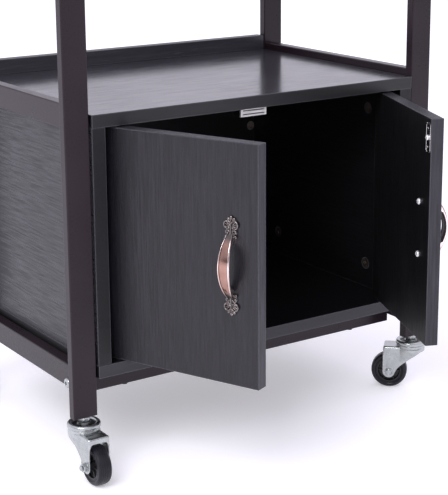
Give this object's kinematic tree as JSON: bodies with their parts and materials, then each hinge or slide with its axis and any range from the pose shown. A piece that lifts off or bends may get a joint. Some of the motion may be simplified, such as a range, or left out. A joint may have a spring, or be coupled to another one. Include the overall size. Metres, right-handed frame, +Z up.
{
  "type": "salon trolley",
  "caption": "Castored trolley: flat-tube steel frame, worktop, railed tray, and a black wood-grain cabinet with a pair of doors on scrolled copper pulls.",
  "frame": {"origin": "on the floor under the middle of the four posts", "axes": "+X to the right of someone facing the doors, -Y the door side, +Z up"},
  "size_m": [0.5662, 0.546, 0.88],
  "materials": {
    "frame_paint": "satin dark brown-black powder coat",
    "black_laminate": "black wood-grain laminate on board",
    "zinc_steel": "bright zinc plate",
    "bright_steel": "plain plated steel",
    "black_oxide": "blackened steel",
    "nickel": "bright nickel plate",
    "magnet": "dark sintered magnet",
    "cam_metal": "dull die-cast",
    "antique_copper": "antique copper, worn bright on the edges",
    "nylon": "plain",
    "wheel_plastic": "plain",
    "wheel_rubber": "smooth"
  },
  "bodies": {
    "frame": {"back_panel": "black_laminate", "board_screws": "black_oxide", "bottom_board": "black_laminate", "cam_dowels": "bright_steel", "cams": "cam_metal", "castor_balls": "zinc_steel", "castor_caps": "zinc_steel", "castor_stems": "zinc_steel", "catch_housing": "nickel", "catch_magnets": "magnet", "cross_rail_plugs": "zinc_steel", "frame_bolts": "zinc_steel", "lower_cross_rail_front": "frame_paint", "lower_cross_rail_rear": "frame_paint", "lower_side_rail_left": "frame_paint", "lower_side_rail_right": "frame_paint", "pivot_bushes": "nylon", "post_foot_plugs": "nylon", "post_front_left": "frame_paint", "post_front_right": "frame_paint", "post_rear_left": "frame_paint", "post_rear_right": "frame_paint", "side_panel_left": "black_laminate", "side_panel_right": "black_laminate", "top_cross_rail_front": "frame_paint", "top_cross_rail_rear": "frame_paint", "top_side_rail_left": "frame_paint", "top_side_rail_right": "frame_paint", "tray_back_rim": "black_laminate", "tray_board": "black_laminate", "tray_side_rail_left": "frame_paint", "tray_side_rail_right": "frame_paint", "wood_screws": "bright_steel", "worktop": "black_laminate"},
    "left_door": {"left_door_panel": "black_laminate", "left_door_pivot_pins": "bright_steel", "left_door_screws": "bright_steel", "left_handle": "antique_copper", "left_strike_plate": "nickel"},
    "right_door": {"right_door_panel": "black_laminate", "right_door_pivot_pins": "bright_steel", "right_door_screws": "bright_steel", "right_handle": "antique_copper", "right_strike_plate": "nickel"},
    "swivel_front_left": {"castor_front_left_fork": "zinc_steel", "castor_front_left_axle": "zinc_steel"},
    "wheel_front_left": {"castor_front_left_hub": "wheel_plastic", "castor_front_left_tyre": "wheel_rubber"},
    "swivel_front_right": {"castor_front_right_fork": "zinc_steel", "castor_front_right_axle": "zinc_steel"},
    "wheel_front_right": {"castor_front_right_hub": "wheel_plastic", "castor_front_right_tyre": "wheel_rubber"},
    "swivel_rear_left": {"castor_rear_left_fork": "zinc_steel", "castor_rear_left_axle": "zinc_steel"},
    "wheel_rear_left": {"castor_rear_left_hub": "wheel_plastic", "castor_rear_left_tyre": "wheel_rubber"},
    "swivel_rear_right": {"castor_rear_right_fork": "zinc_steel", "castor_rear_right_axle": "zinc_steel"},
    "wheel_rear_right": {"castor_rear_right_hub": "wheel_plastic", "castor_rear_right_tyre": "wheel_rubber"}
  },
  "joints": [
    {"name": "left_door_hinge", "type": "hinge", "parent": "frame", "child": "left_door", "pos_m": [-0.2045, -0.167, 0.2835], "axis": [0, 0, -1], "range_deg": [-66.6, 43.4]},
    {"name": "right_door_hinge", "type": "hinge", "parent": "frame", "child": "right_door", "pos_m": [0.2045, -0.167, 0.2835], "axis": [0, 0, 1], "range_deg": [-68.1, 41.9]},
    {"name": "front_left_castor_swivel", "type": "hinge", "parent": "frame", "child": "swivel_front_left", "pos_m": [-0.259, -0.16875, 0.06], "axis": [0, 0, 1], "continuous": true},
    {"name": "front_left_wheel_spin", "type": "hinge", "parent": "swivel_front_left", "child": "wheel_front_left", "pos_m": [-0.259, -0.19775, 0.025], "axis": [-1, 0, 0], "continuous": true},
    {"name": "front_right_castor_swivel", "type": "hinge", "parent": "frame", "child": "swivel_front_right", "pos_m": [0.259, -0.16875, 0.06], "axis": [0, 0, 1], "continuous": true},
    {"name": "front_right_wheel_spin", "type": "hinge", "parent": "swivel_front_right", "child": "wheel_front_right", "pos_m": [0.23814, -0.1486, 0.025], "axis": [0.6947, 0.7193, 0], "continuous": true},
    {"name": "rear_left_castor_swivel", "type": "hinge", "parent": "frame", "child": "swivel_rear_left", "pos_m": [-0.259, 0.16875, 0.06], "axis": [0, 0, 1], "continuous": true},
    {"name": "rear_left_wheel_spin", "type": "hinge", "parent": "swivel_rear_left", "child": "wheel_rear_left", "pos_m": [-0.26404, 0.14019, 0.025], "axis": [-0.9848, 0.1736, 0], "continuous": true},
    {"name": "rear_right_castor_swivel", "type": "hinge", "parent": "frame", "child": "swivel_rear_right", "pos_m": [0.259, 0.16875, 0.06], "axis": [0, 0, 1], "continuous": true},
    {"name": "rear_right_wheel_spin", "type": "hinge", "parent": "swivel_rear_right", "child": "wheel_rear_right", "pos_m": [0.24538, 0.14314, 0.025], "axis": [-0.8829, 0.4695, 0], "continuous": true}
  ]
}
